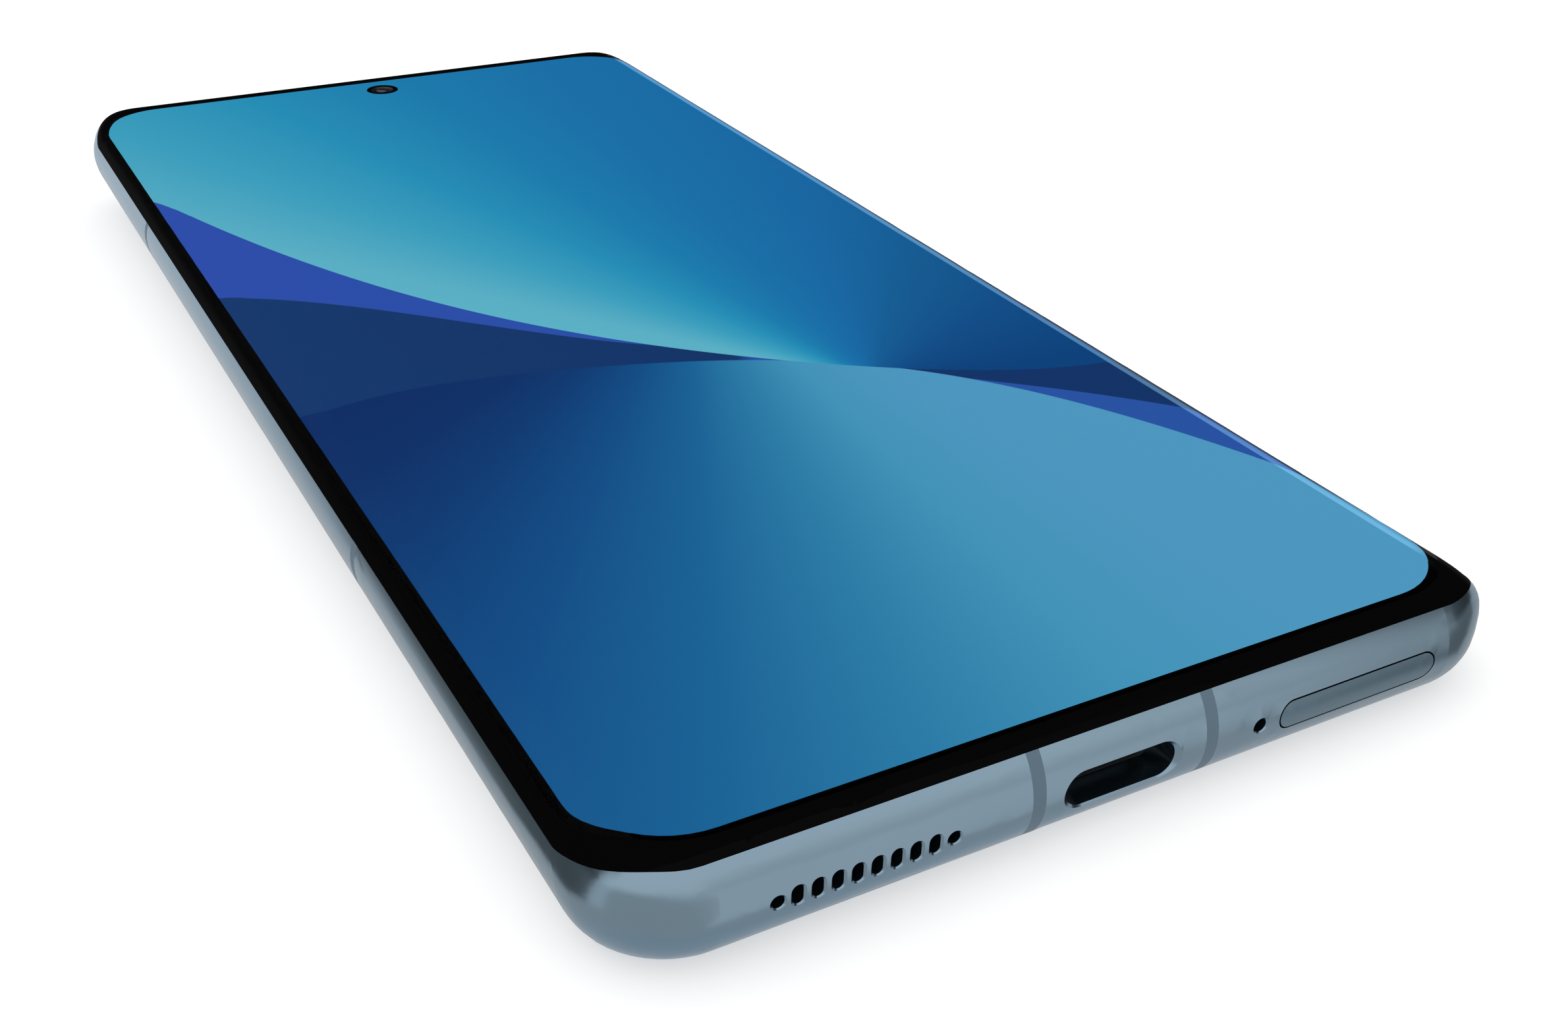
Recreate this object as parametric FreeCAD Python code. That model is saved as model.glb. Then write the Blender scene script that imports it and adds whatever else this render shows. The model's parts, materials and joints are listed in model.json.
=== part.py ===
"""Slab smartphone with a curved-edge display, as an assembly of separate parts.

Millimetres. The origin is the centre of the flat back face, +Z comes out of the screen,
+Y points to the top edge (front camera) and -Y to the edge with the USB-C socket.
Every function makes one node, and the table at the end writes them all to parts/.
"""
import FreeCAD, Part
import math
import os

from FreeCAD import Vector

# ---------------------------------------------------------------- driving dimensions
LENGTH = 163.6                 # top edge to bottom edge, over the frame
WIDTH = 74.5                   # side to side, over the frame
THICK = 8.16                   # flat back face to flat front face
MID = THICK / 2                # height of the middle plane

SIDE_FRONT_R = 4.08            # edge roll of the long sides, front half (half round)
SIDE_BACK_R = 5.93             # the same, back half (fuller)
END_FRONT_R = 5.37             # edge roll of the short sides, front half
END_BACK_R = 4.67              # the same, back half
CORNER_X = 7.3                 # plan corner, measured along the short side
CORNER_Y = 7.7                 # plan corner, measured along the long side
CORNER_FULL = 0.577            # handle length of the corner curve at the middle plane
CORNER_FULL_FRONT = 0.93       # the same at the front face, nearly square
CORNER_FULL_BACK = 0.52        # the same at the back face

GLASS_T = 0.55                 # cover glass
INK_T = 0.05                   # printed black border under the glass
PANEL_T = 0.42                 # display panel
SIDE_SEAM_Z = 5.86             # height of the glass edge on the long sides
SIDE_SEAM_IN = 0.35            # glass outline inside the frame's side
END_SEAM_IN = 1.39             # glass outline inside the frame's top and bottom
SEAM_CORNER_X = 6.5            # plan corner of the glass outline, along the short side
SEAM_CORNER_Y = 9.1            # the same, along the long side
SEAM_FULL = 0.64               # handle length of that corner curve
BORDER_BOTTOM = 3.86           # outer edge of the frame to the lit area, bottom
BORDER_TOP = 3.02              # the same, top
BORDER_SIDE = 2.05             # the same, sides (on the curved glass)
LIT_CORNER_R = 7.0             # plan corner of the lit area

BACK_T = 0.75                  # back glass
BACK_IN_X = 1.25               # back glass outline inside the frame's sides
BACK_IN_Y = 1.60               # back glass outline inside the frame's top and bottom
TAPE_T = 0.15                  # waterproof tape under the back glass

CAVITY_X = 34.9                # half width of the inside
CAVITY_Y = 79.1                # half length of the inside
CAVITY_FLOOR = BACK_T + TAPE_T
PLATE_UNDER = 5.80             # underside of the mid plate
PLATE_TOP = 6.50               # top of the mid plate
LEDGE_UNDER = 5.20             # underside of the side ledges that carry the curved glass

USB_W = 9.10                   # USB-C opening
USB_H = 2.75
GRILLE_FIRST = -26.08          # loudspeaker openings along the bottom edge
GRILLE_PITCH = 1.412
GRILLE_COUNT = 10
GRILLE_ROUND = 0.95            # diameter of the two end holes
GRILLE_SLOT = (0.80, 1.45)     # width and height of the ovals between them
PIN_X = 11.9                   # ejector pin hole
PIN_D = 1.10
TRAY_X = 21.12                 # middle of the SIM tray's face
TRAY_W = 14.75
TRAY_H = 2.20
TRAY_GAP = 0.13
BAND_W = 1.05                  # antenna bands
BAND_BOTTOM_X = (-6.9, 7.5)
BAND_LEFT_Y = (-33.0, 44.0)
BAND_RIGHT_Y = (-33.0, 52.0)
BAND_TOP_X = (-22.0, 22.0)

HOLE_CAM_Y = 75.0              # front camera in the display
HOLE_CAM_D = 4.0

POWER_Y = 6.0                  # side keys
POWER_LEN = 11.0
VOLUME_Y = 27.5
VOLUME_LEN = 21.0
KEY_H = 2.20
KEY_PROUD = 0.45
KEY_GAP = 0.10

ISLAND = (20.5, 58.0)          # rear camera island
ISLAND_SIZE = (24.0, 33.0)
ISLAND_R = 7.0
ISLAND_Z = -1.90               # its outer face, below the back
MAIN_LENS = (20.5, 65.0)
WIDE_LENS = (14.9, 51.3)
TELE_LENS = (26.1, 51.3)
FLASH = (20.5, 44.6)

BATTERY = (-31.0, 31.0, -51.0, 31.0)
BATTERY_Z = (1.25, 5.55)


# ---------------------------------------------------------------- shape helpers
def box(x0, x1, y0, y1, z0, z1):
    return Part.makeBox(x1 - x0, y1 - y0, z1 - z0, Vector(x0, y0, z0))


def cylinder(x, y, z, radius, height, axis=(0, 0, 1)):
    return Part.makeCylinder(radius, height, Vector(x, y, z), Vector(*axis))


def tube(x, y, z, outer, inner, height):
    return cylinder(x, y, z, outer, height).cut(cylinder(x, y, z, inner, height))


def slab(x0, x1, y0, y1, z0, z1, radius):
    """A plate with rounded plan corners."""
    solid = box(x0, x1, y0, y1, z0, z1)
    return solid.makeFillet(radius, vertical_edges(solid))


def vertical_edges(solid):
    found = []
    for edge in solid.Edges:
        a, b = edge.Vertexes[0].Point, edge.Vertexes[-1].Point
        if abs(a.z - b.z) > 1e-6 and abs(a.x - b.x) + abs(a.y - b.y) < 1e-6:
            found.append(edge)
    return found


def stadium_y(x, z, width, height, y0, y1):
    """A slot shape with round ends, long in X, run along Y."""
    r = height / 2
    half = width / 2 - r
    body = box(x - half, x + half, y0, y1, z - r, z + r)
    left = cylinder(x - half, y0, z, r, y1 - y0, (0, 1, 0))
    right = cylinder(x + half, y0, z, r, y1 - y0, (0, 1, 0))
    return body.multiFuse([left, right]).removeSplitter()


def stadium_x(y, z, length, height, x0, x1):
    """A slot shape with round ends, long in Y, run along X."""
    r = height / 2
    half = length / 2 - r
    body = box(x0, x1, y - half, y + half, z - r, z + r)
    low = cylinder(x0, y - half, z, r, x1 - x0, (1, 0, 0))
    high = cylinder(x0, y + half, z, r, x1 - x0, (1, 0, 0))
    return body.multiFuse([low, high]).removeSplitter()


def slot_y(x, z, width, height, y0, y1):
    """An upright oval hole: narrow in X, tall in Z, run along Y."""
    r = width / 2
    half = height / 2 - r
    body = box(x - r, x + r, y0, y1, z - half, z + half)
    low = cylinder(x, y0, z - half, r, y1 - y0, (0, 1, 0))
    high = cylinder(x, y0, z + half, r, y1 - y0, (0, 1, 0))
    return body.multiFuse([low, high]).removeSplitter()


def stadium_wire(x, z, width, height, y):
    """A closed slot outline with round ends, standing in the XZ plane."""
    r = min(width, height) / 2
    ex, ez = width / 2 - r, height / 2 - r
    turn = math.pi / 2 if ez > ex else 0.0
    half = max(ex, ez)

    def at(u, v):
        return Vector(x + u * math.cos(turn) - v * math.sin(turn), y,
                      z + u * math.sin(turn) + v * math.cos(turn))

    arcs = [Part.Arc(at(half, -r), at(half + r, 0), at(half, r)).toShape(),
            Part.Arc(at(-half, r), at(-half - r, 0), at(-half, -r)).toShape()]
    lines = [Part.makeLine(at(half, r), at(-half, r)), Part.makeLine(at(-half, -r), at(half, -r))]
    return Part.Wire([arcs[0], lines[0], arcs[1], lines[1]])


def bevel(x, width, height, depth):
    """The tapered cut that breaks the edge of a slot in the bottom edge."""
    y = -LENGTH / 2
    wide = stadium_wire(x, MID, width + 2.4 * depth, height + 2.4 * depth, y - 0.2 * depth)
    narrow = stadium_wire(x, MID, width, height, y + depth)
    return Part.makeLoft([wide, narrow], True, True)


def join(solids):
    whole = solids[0].multiFuse(solids[1:]) if len(solids) > 1 else solids[0]
    return whole.removeSplitter()


def rounded_outline(half_x, half_y, corner_x, corner_y, handle, z):
    """A closed outline of four straight sides and four Bezier corners."""
    cx, cy = half_x - corner_x, half_y - corner_y
    hx, hy = corner_x * handle, corner_y * handle
    edges = []
    for sx, sy in ((1, 1), (-1, 1), (-1, -1), (1, -1)):
        side = [(sx * half_x, sy * cy), (sx * half_x, sy * (cy + hy))]
        end = [(sx * (cx + hx), sy * half_y), (sx * cx, sy * half_y)]
        poles = side + end if sx == sy else list(reversed(side + end))
        curve = Part.BezierCurve()
        curve.setPoles([Vector(x, y, z) for x, y in poles])
        edges.append(curve.toShape())
    closed = []
    for i, edge in enumerate(edges):
        after = edges[(i + 1) % 4]
        closed.append(edge)
        closed.append(Part.makeLine(edge.lastVertex().Point, after.firstVertex().Point))
    return Part.Wire(closed)


def plate(half_x, half_y, corner_x, corner_y, handle, z0, z1):
    wire = rounded_outline(half_x, half_y, corner_x, corner_y, handle, z0)
    return Part.Face(wire).extrude(Vector(0, 0, z1 - z0))


def envelope(skin):
    """The phone's outer form, or a form parallel to it and skin mm inside."""
    reach = MID - skin
    wires = []
    steps = 8
    for i in range(-steps, steps + 1):
        h = reach * math.sin(math.radians(90.0 * i / steps))
        side_r = SIDE_FRONT_R if h >= 0 else SIDE_BACK_R
        end_r = END_FRONT_R if h >= 0 else END_BACK_R
        half_x = WIDTH / 2 - side_r + math.sqrt(max((side_r - skin) ** 2 - h * h, 0))
        half_y = LENGTH / 2 - end_r + math.sqrt((end_r - skin) ** 2 - h * h)
        corner_x = half_x - (WIDTH / 2 - CORNER_X)
        corner_y = half_y - (LENGTH / 2 - CORNER_Y)
        full = CORNER_FULL_FRONT if h >= 0 else CORNER_FULL_BACK
        share = (abs(h) / MID) ** 1.7
        handle = CORNER_FULL + (full - CORNER_FULL) * share
        wires.append(rounded_outline(half_x, half_y, corner_x, corner_y, handle, MID + h))
    return Part.makeLoft(wires, True, False)


BODY = envelope(0.0)


def above(z):
    return box(-WIDTH, WIDTH, -LENGTH, LENGTH, z, THICK + 5)


def front_prism(z0, shrink=0.0):
    """The plan outline of the cover glass, from z0 up."""
    half_x = WIDTH / 2 - SIDE_SEAM_IN - shrink
    half_y = LENGTH / 2 - END_SEAM_IN - shrink
    corner_x, corner_y = SEAM_CORNER_X - shrink, SEAM_CORNER_Y - shrink
    return plate(half_x, half_y, corner_x, corner_y, SEAM_FULL, z0, THICK + 3)


def back_prism(z1, shrink=0.0):
    half_x = WIDTH / 2 - BACK_IN_X - shrink
    half_y = LENGTH / 2 - BACK_IN_Y - shrink
    corner_x = CORNER_X - BACK_IN_X - shrink
    corner_y = CORNER_Y - BACK_IN_Y - shrink
    return plate(half_x, half_y, corner_x, corner_y, 0.56, -3.0, z1)


def cavity_prism(inset, z0, z1):
    return plate(CAVITY_X - inset, CAVITY_Y - inset, 6.0, 6.0, 0.56, z0, z1)


# ---------------------------------------------------------------- display stack
def lit_prism(grow=0.0):
    """The lit area in plan, through the whole display stack."""
    low = -LENGTH / 2 + BORDER_BOTTOM - grow
    high = LENGTH / 2 - BORDER_TOP + grow
    half_x = WIDTH / 2 - BORDER_SIDE + grow
    area = plate(half_x, (high - low) / 2, LIT_CORNER_R, LIT_CORNER_R, 0.56, 5.0, THICK + 1)
    area.translate(Vector(0, (high + low) / 2, 0))
    return area


def shell(outer_skin, inner_skin, edge):
    """A layer of the display that follows the glass, with its outline edge mm inside it."""
    layer = envelope(outer_skin).common(front_prism(SIDE_SEAM_Z + edge, edge))
    return layer.cut(envelope(inner_skin))


def camera_bore(radius, z0, z1):
    return cylinder(0, HOLE_CAM_Y, z0, radius, z1 - z0)


def cover_glass():
    return shell(0.0, GLASS_T, 0.04)


def display_mask():
    layer = shell(GLASS_T, GLASS_T + INK_T, 0.20)
    border = layer.cut(lit_prism())
    ring = tube(0, HOLE_CAM_Y, THICK - GLASS_T - INK_T, HOLE_CAM_D / 2, 1.45, INK_T)
    return Part.makeCompound([border, ring])


def display_panel():
    layer = shell(GLASS_T + INK_T, GLASS_T + INK_T + PANEL_T, 0.45)
    return layer.cut(camera_bore(HOLE_CAM_D / 2 + 0.05, 6.0, THICK))


def display_backing():
    pad = slab(-32.6, 32.6, -78.0, 78.0, 6.85, 7.14, 6.0).common(envelope(1.03))
    window = box(-4.2, 4.2, -60.2, -51.8, 6.5, 7.5)
    tail = box(-6.2, 6.2, -75.2, -74.0, 6.5, 7.5)
    return pad.cut(camera_bore(2.4, 6.5, 7.5)).cut(window).cut(tail)


def display_adhesive():
    outer = slab(-32.3, 32.3, -77.6, 77.6, PLATE_TOP, 6.85, 6.0)
    inner = slab(-30.8, 30.8, -76.2, 76.2, PLATE_TOP, 6.85, 4.5)
    return outer.cut(inner).cut(camera_bore(3.2, 6.0, 7.5))


def vapor_chamber():
    return slab(-26.0, 26.0, -48.0, 62.0, PLATE_TOP - 0.30, PLATE_TOP, 4.0)


def fingerprint_sensor():
    return slab(-4.0, 4.0, -60.0, -52.0, 6.20, 7.10, 0.6)


# ---------------------------------------------------------------- frame
COVER_SEAT, BOARD_SEAT, BOTTOM_SEAT = 1.6, 3.6, 1.7      # what the screw heads rest on
SCREWS = [(-32.4, 36.6, COVER_SEAT), (-32.4, 68.0, COVER_SEAT), (4.0, 68.4, COVER_SEAT)]
SCREWS += [(18.0, 36.6, BOARD_SEAT), (30.0, 36.6, BOARD_SEAT)]
SCREWS += [(-32.6, -57.0, BOTTOM_SEAT), (-10.4, -57.0, BOTTOM_SEAT)]
SCREWS += [(32.2, -57.0, BOTTOM_SEAT), (31.6, -76.4, BOTTOM_SEAT)]


def grille_x():
    return [GRILLE_FIRST + GRILLE_PITCH * 0.9965 * i for i in range(GRILLE_COUNT)]


def bottom_openings():
    """Loudspeaker grille, USB-C opening, ejector pin hole and SIM tray slot."""
    out, deep = -LENGTH / 2 - 1, -CAVITY_Y + 0.4
    cuts = []
    holes = grille_x()
    for x in (holes[0], holes[-1], PIN_X):
        d = PIN_D if x == PIN_X else GRILLE_ROUND
        cuts.append(cylinder(x, out, MID, d / 2, deep - out, (0, 1, 0)))
        cuts.append(rim_bevel_round(x, d))
    for x in holes[1:-1]:
        cuts.append(slot_y(x, MID, *GRILLE_SLOT, out, deep))
        cuts.append(bevel(x, *GRILLE_SLOT, 0.16))
    cuts.append(stadium_y(0, MID, USB_W, USB_H, out, deep))
    cuts.append(bevel(0, USB_W, USB_H, 0.36))
    cuts.append(stadium_y(TRAY_X, MID, TRAY_W + 2 * TRAY_GAP, TRAY_H + 2 * TRAY_GAP, out, deep))
    return cuts


def rim_bevel_round(x, d):
    """A shallow countersink where a round hole meets the bottom edge."""
    y = -LENGTH / 2
    depth = 0.12
    return Part.makeCone(d / 2 + 2 * depth, d / 2, 2 * depth, Vector(x, y - depth, MID), Vector(0, 1, 0))


def top_openings():
    """Earpiece holes and the second microphone's hole on the top edge."""
    cuts = []
    for i in range(6):
        cuts.append(cylinder(-12.6 + 1.4 * i, CAVITY_Y - 0.4, MID, 0.4, 5, (0, 1, 0)))
    cuts.append(cylinder(9.6, CAVITY_Y - 0.4, MID, 0.4, 5, (0, 1, 0)))
    return cuts


def key_slots():
    cuts = []
    for y, length in ((POWER_Y, POWER_LEN), (VOLUME_Y, VOLUME_LEN)):
        cuts.append(stadium_x(y, MID, length + 2 * KEY_GAP, KEY_H + 2 * KEY_GAP, CAVITY_X - 0.4, 40))
    return cuts


def band_boxes():
    half = BAND_W / 2
    boxes = [box(x - half, x + half, -85, -CAVITY_Y, -1, 9) for x in BAND_BOTTOM_X]
    boxes += [box(x - half, x + half, CAVITY_Y, 85, -1, 9) for x in BAND_TOP_X]
    boxes += [box(-40, -CAVITY_X, y - half, y + half, -1, 9) for y in BAND_LEFT_Y]
    boxes += [box(CAVITY_X, 40, y - half, y + half, -1, 9) for y in BAND_RIGHT_Y]
    return Part.makeCompound(boxes)


def frame_blank():
    """Rim and mid plate before the antenna bands split the rim."""
    bay = front_prism(SIDE_SEAM_Z)
    core = envelope(1.35).common(box(-33.2, 33.2, -80.3, 80.3, 5.0, PLATE_TOP))
    body = BODY.cut(bay.cut(core))
    body = body.cut(back_prism(CAVITY_FLOOR))
    body = body.cut(cavity_prism(0.0, CAVITY_FLOOR - 0.1, LEDGE_UNDER))
    body = body.cut(plate(CAVITY_X - 2.7, CAVITY_Y, 4.5, 4.5, 0.56, LEDGE_UNDER - 0.1, PLATE_UNDER))
    bosses = [cylinder(x, y, 4.4, 1.3, PLATE_UNDER - 4.4 + 0.2) for x, y, seat in SCREWS]
    body = body.multiFuse(bosses)
    cuts = bottom_openings() + top_openings() + key_slots()
    cuts += [cylinder(x, y, 4.0, 0.6, 2.3) for x, y, seat in SCREWS]
    cuts.append(camera_bore(2.3, 5.0, 7.0))
    cuts.append(slab(-26.1, 26.1, -48.1, 62.1, PLATE_TOP - 0.30, 7.0, 4.1))
    cuts.append(box(-4.1, 4.1, -60.1, -51.9, 5.0, 7.0))
    cuts.append(box(-6.2, 6.2, -75.2, -74.0, 5.0, 7.0))
    return body.cut(Part.makeCompound(cuts))


BLANK = frame_blank()


def mid_frame():
    return BLANK.cut(band_boxes())


def antenna_bands():
    return BLANK.common(band_boxes())


# ---------------------------------------------------------------- back
def island_plate(grow, z0, z1):
    half_x, half_y = ISLAND_SIZE[0] / 2 + grow, ISLAND_SIZE[1] / 2 + grow
    solid = plate(half_x, half_y, ISLAND_R + grow, ISLAND_R + grow, 0.56, z0, z1)
    solid.translate(Vector(ISLAND[0], ISLAND[1], 0))
    return solid


def flash_window(grow, z0, z1):
    r = 1.5 + grow
    parts = [box(FLASH[0] - 1.8, FLASH[0] + 1.8, FLASH[1] - r, FLASH[1] + r, z0, z1)]
    parts += [cylinder(FLASH[0] + s * 1.8, FLASH[1], z0, r, z1 - z0) for s in (-1, 1)]
    return join(parts)


def back_glass():
    sheet = BODY.common(back_prism(BACK_T, 0.06))
    return sheet.cut(island_plate(0.12, -3.0, 2.0))


def back_adhesive():
    outer = back_prism(CAVITY_FLOOR, 0.25).common(above(BACK_T))
    return outer.cut(cavity_prism(-0.15, 0.0, 2.0))


def camera_deco():
    block = island_plate(0.0, ISLAND_Z, BACK_T)
    rim = [e for e in block.Edges if abs(e.BoundBox.ZMin - ISLAND_Z) < 1e-4 and e.BoundBox.ZLength < 1e-4]
    block = block.makeFillet(0.55, rim)
    block = block.fuse(island_plate(1.3, BACK_T, CAVITY_FLOOR)).removeSplitter()
    cuts = [island_plate(-1.2, ISLAND_Z - 1, ISLAND_Z + 0.50), flash_window(0.15, -1.6, 2.0)]
    cuts.append(cylinder(*MAIN_LENS, -1.6, 5.85, 4))
    cuts.append(cylinder(*WIDE_LENS, -1.6, 4.15, 4))
    cuts.append(cylinder(*TELE_LENS, -1.6, 4.15, 4))
    return block.cut(Part.makeCompound(cuts))


def camera_cover_glass():
    return island_plate(-1.25, ISLAND_Z, ISLAND_Z + 0.48).cut(flash_window(0.05, -3, 0))


def lens_rings():
    rings = [tube(*MAIN_LENS, ISLAND_Z - 0.45, 6.9, 6.1, 0.45)]
    rings += [tube(*spot, ISLAND_Z - 0.45, 4.9, 4.2, 0.45) for spot in (WIDE_LENS, TELE_LENS)]
    return Part.makeCompound(rings)


def flash_lens():
    return flash_window(0.0, ISLAND_Z, -0.9)


def flash_led():
    board = box(FLASH[0] - 4, FLASH[0] + 4, FLASH[1] - 2.2, FLASH[1] + 1.8, 0.95, 1.3)
    lamps = [box(FLASH[0] + s * 1.7 - 1, FLASH[0] + s * 1.7 + 1, FLASH[1] - 1, FLASH[1] + 1, -0.8, 0.95)
             for s in (-1, 1)]
    return join([board] + lamps)


# ---------------------------------------------------------------- cameras
def camera_housing(spot, width, top, neck, bore):
    """A camera's square body and round neck, bored for its lens barrel."""
    x, y = spot
    half = width / 2
    body = slab(x - half, x + half, y - half, y + half, 0.95, top, 0.8)
    body = body.fuse(cylinder(x, y, -1.25, neck, 2.4)).removeSplitter()
    return body.cut(cylinder(x, y, -1.3, bore, 4.3))


def lens_barrel(spot, radius):
    x, y = spot
    barrel = cylinder(x, y, -1.05, radius, 3.5)
    funnel = Part.makeCone(radius - 0.5, radius * 0.45, 0.7, Vector(x, y, -1.06), Vector(0, 0, 1))
    eye = cylinder(x, y, -0.4, radius * 0.45, 0.6)
    return barrel.cut(funnel).cut(eye)


def main_camera():
    return camera_housing(MAIN_LENS, 13.0, 5.7, 5.6, 4.9)


def main_lens_barrel():
    return lens_barrel(MAIN_LENS, 4.75)


def wide_camera():
    body = camera_housing(WIDE_LENS, 9.6, 5.2, 3.9, 3.3)
    return body.fuse(lens_barrel(WIDE_LENS, 3.3)).removeSplitter()


def tele_camera():
    return camera_housing(TELE_LENS, 9.6, 5.5, 3.9, 3.35)


def tele_lens_barrel():
    return lens_barrel(TELE_LENS, 3.2)


def front_camera():
    body = slab(-3.0, 3.0, HOLE_CAM_Y - 3.0, HOLE_CAM_Y + 3.0, 2.6, 5.75, 0.6)
    neck = camera_bore(2.0, 5.7, 6.9)
    nose = camera_bore(1.85, 6.8, 7.5)
    funnel = Part.makeCone(0.55, 1.35, 0.5, Vector(0, HOLE_CAM_Y, 7.01), Vector(0, 0, 1))
    return join([body, neck, nose]).cut(funnel)


# ---------------------------------------------------------------- side keys
def key(y, length, nubs):
    """A key cap with its retaining flange and the nubs that press the switches."""
    outer = WIDTH / 2 + KEY_PROUD
    cap = stadium_x(y, MID, length, KEY_H, 34.5, outer)
    crown = [e for e in cap.Edges if abs(e.BoundBox.XMin - outer) < 1e-4 and e.BoundBox.XLength < 1e-4]
    cap = cap.makeFillet(0.28, crown)
    flange = stadium_x(y, MID, length + 1.6, 2.0, 34.15, 34.55)
    feet = [cylinder(33.95, y + dy, MID, 0.5, 0.3, (1, 0, 0)) for dy in nubs]
    return join([cap, flange] + feet)


def power_button():
    return key(POWER_Y, POWER_LEN, (0.0,))


def volume_rocker():
    return key(VOLUME_Y, VOLUME_LEN, (-7.0, 7.0))


def side_key_flex():
    strip = box(33.0, 33.25, -2.0, 40.0, 2.9, 5.1)
    domes = [cylinder(33.25, y, MID, 0.95, 0.4, (1, 0, 0))
             for y in (POWER_Y, VOLUME_Y - 7.0, VOLUME_Y + 7.0)]
    return join([strip] + domes)


# ---------------------------------------------------------------- SIM tray and ejector
TRAY_REAR = -66.60
PIVOT = (14.9, -63.30)
LEVER_HALF = 0.35


def sim_tray():
    head = stadium_y(TRAY_X, MID, TRAY_W, TRAY_H, -LENGTH / 2 - 1, -79.9).common(BODY)
    neck = stadium_y(TRAY_X, MID, 13.8, 1.4, -80.0, -79.15)
    leaf = box(TRAY_X - 7.1, TRAY_X + 7.1, -79.15, TRAY_REAR, 3.63, 4.53)
    pocket = box(TRAY_X - 6.2, TRAY_X + 6.2, -77.25, -68.35, 3.78, 5)
    window = box(TRAY_X - 5.2, TRAY_X + 5.2, -76.4, -69.2, 3, 5)
    return join([head, neck, leaf]).cut(pocket).cut(window)


def sim_card():
    card = box(TRAY_X - 6.15, TRAY_X + 6.15, -77.2, -68.4, 3.78, 4.45)
    corner = [e for e in vertical_edges(card)
              if e.BoundBox.XMin > TRAY_X and e.BoundBox.YMin > -70]
    return card.makeChamfer(2.5, corner)


def tray_seal():
    ring = stadium_y(TRAY_X, MID, 14.85, 2.30, -79.85, -79.2)
    return ring.cut(stadium_y(TRAY_X, MID, 13.8, 1.4, -80, -79))


def sim_socket():
    """Sheet cage around the tray, with the lever's pivot pin and the rod's guide."""
    x0, x1 = TRAY_X - 7.6, TRAY_X + 7.6
    cage = box(x0, x1, -78.4, -64.2, 2.9, 5.3).cut(box(x0 + 0.2, x1 - 0.2, -79, -64.4, 3.1, 5.1))
    rear = box(x0, x1, -64.3, -62.0, 2.9, 3.1)
    gate = box(15.6, 19.4, -65, -64, 3.5, 4.7)
    pin = cylinder(*PIVOT, 3.0, 0.35, 1.9)
    guide = box(11.0, x0 + 0.1, -73.0, -71.0, 3.2, 5.0).cut(box(11.3, 12.5, -74, -70, 3.6, 4.6))
    feet = [box(x, x + 1.0, y, y + 1.0, 2.5, 2.95)
            for x in (x0, x1 - 1.0) for y in (-78.4, -66.0)]
    return join([cage.cut(gate), rear, pin, guide] + feet)


def eject_rod():
    head = cylinder(PIN_X, -78.9, MID, 0.45, 0.6, (0, 1, 0))
    bar = box(PIN_X - 0.45, PIN_X + 0.45, -78.5, -64.3, 3.7, 4.46)
    tip = box(PIN_X - 0.15, PIN_X + 0.15, -64.4, PIVOT[1] - LEVER_HALF - 0.06, 3.7, 4.46)
    return join([head, bar, tip])


def eject_lever():
    x, y = PIVOT
    bar = box(x - 3.4, x + 3.75, y - LEVER_HALF, y + LEVER_HALF, 3.75, 4.41)
    hub = cylinder(x, y, 3.75, 0.8, 0.66)
    return join([bar, hub]).cut(cylinder(x, y, 3, 0.42, 3))


def eject_pusher():
    bar = box(TRAY_X - 6.9, TRAY_X + 6.9, -66.55, -64.95, 3.65, 4.51)
    nib_x = PIVOT[0] + 3.35
    tail = box(nib_x - 0.15, nib_x + 0.15, -65.0, PIVOT[1] - LEVER_HALF - 0.06, 3.75, 4.41)
    return join([bar, tail])


# ---------------------------------------------------------------- bottom electronics
def usb_receptacle():
    outer = stadium_y(0, MID, 8.94, 3.16, -78.75, -72.0)
    inner = stadium_y(0, MID, 8.34, 2.56, -79.5, -72.3)
    feet = [box(x - 0.8, x + 0.8, y, y + 1.2, 2.5, 2.75) for x in (-4.2, 4.2) for y in (-77.5, -74.0)]
    return join([outer.cut(inner)] + feet)


def usb_tongue():
    base = stadium_y(0, MID, 8.3, 2.52, -73.9, -72.3)
    tongue = box(-3.345, 3.345, -78.35, -73.8, MID - 0.35, MID + 0.35)
    step = box(-3.345, 3.345, -75.0, -73.8, MID - 0.6, MID + 0.6)
    return join([base, tongue, step])


def usb_contacts():
    pads = []
    for i in range(12):
        x = -2.75 + 0.5 * i
        for z in (MID - 0.40, MID + 0.35):
            pads.append(box(x - 0.12, x + 0.12, -78.0, -75.0, z, z + 0.05))
    return Part.makeCompound(pads)


def usb_gasket():
    ring = stadium_y(0, MID, 9.9, 3.40, -CAVITY_Y, -78.8)
    return ring.cut(stadium_y(0, MID, 8.5, 2.70, -80, -78))


def screw_holes(solid, radius=0.75):
    return solid.cut(Part.makeCompound([cylinder(x, y, 0, radius, 8) for x, y, seat in SCREWS]))


def sub_board():
    main = box(-8.2, 33.6, -78.5, -54.0, 1.7, 2.5)
    corner = [e for e in vertical_edges(main) if e.BoundBox.XMin > 30 and e.BoundBox.YMax < -70]
    main = main.makeFillet(4.8, corner)
    arm = box(-15.6, -8.0, -78.5, -74.4, 1.7, 2.5)
    return screw_holes(join([main, arm]))


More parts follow.
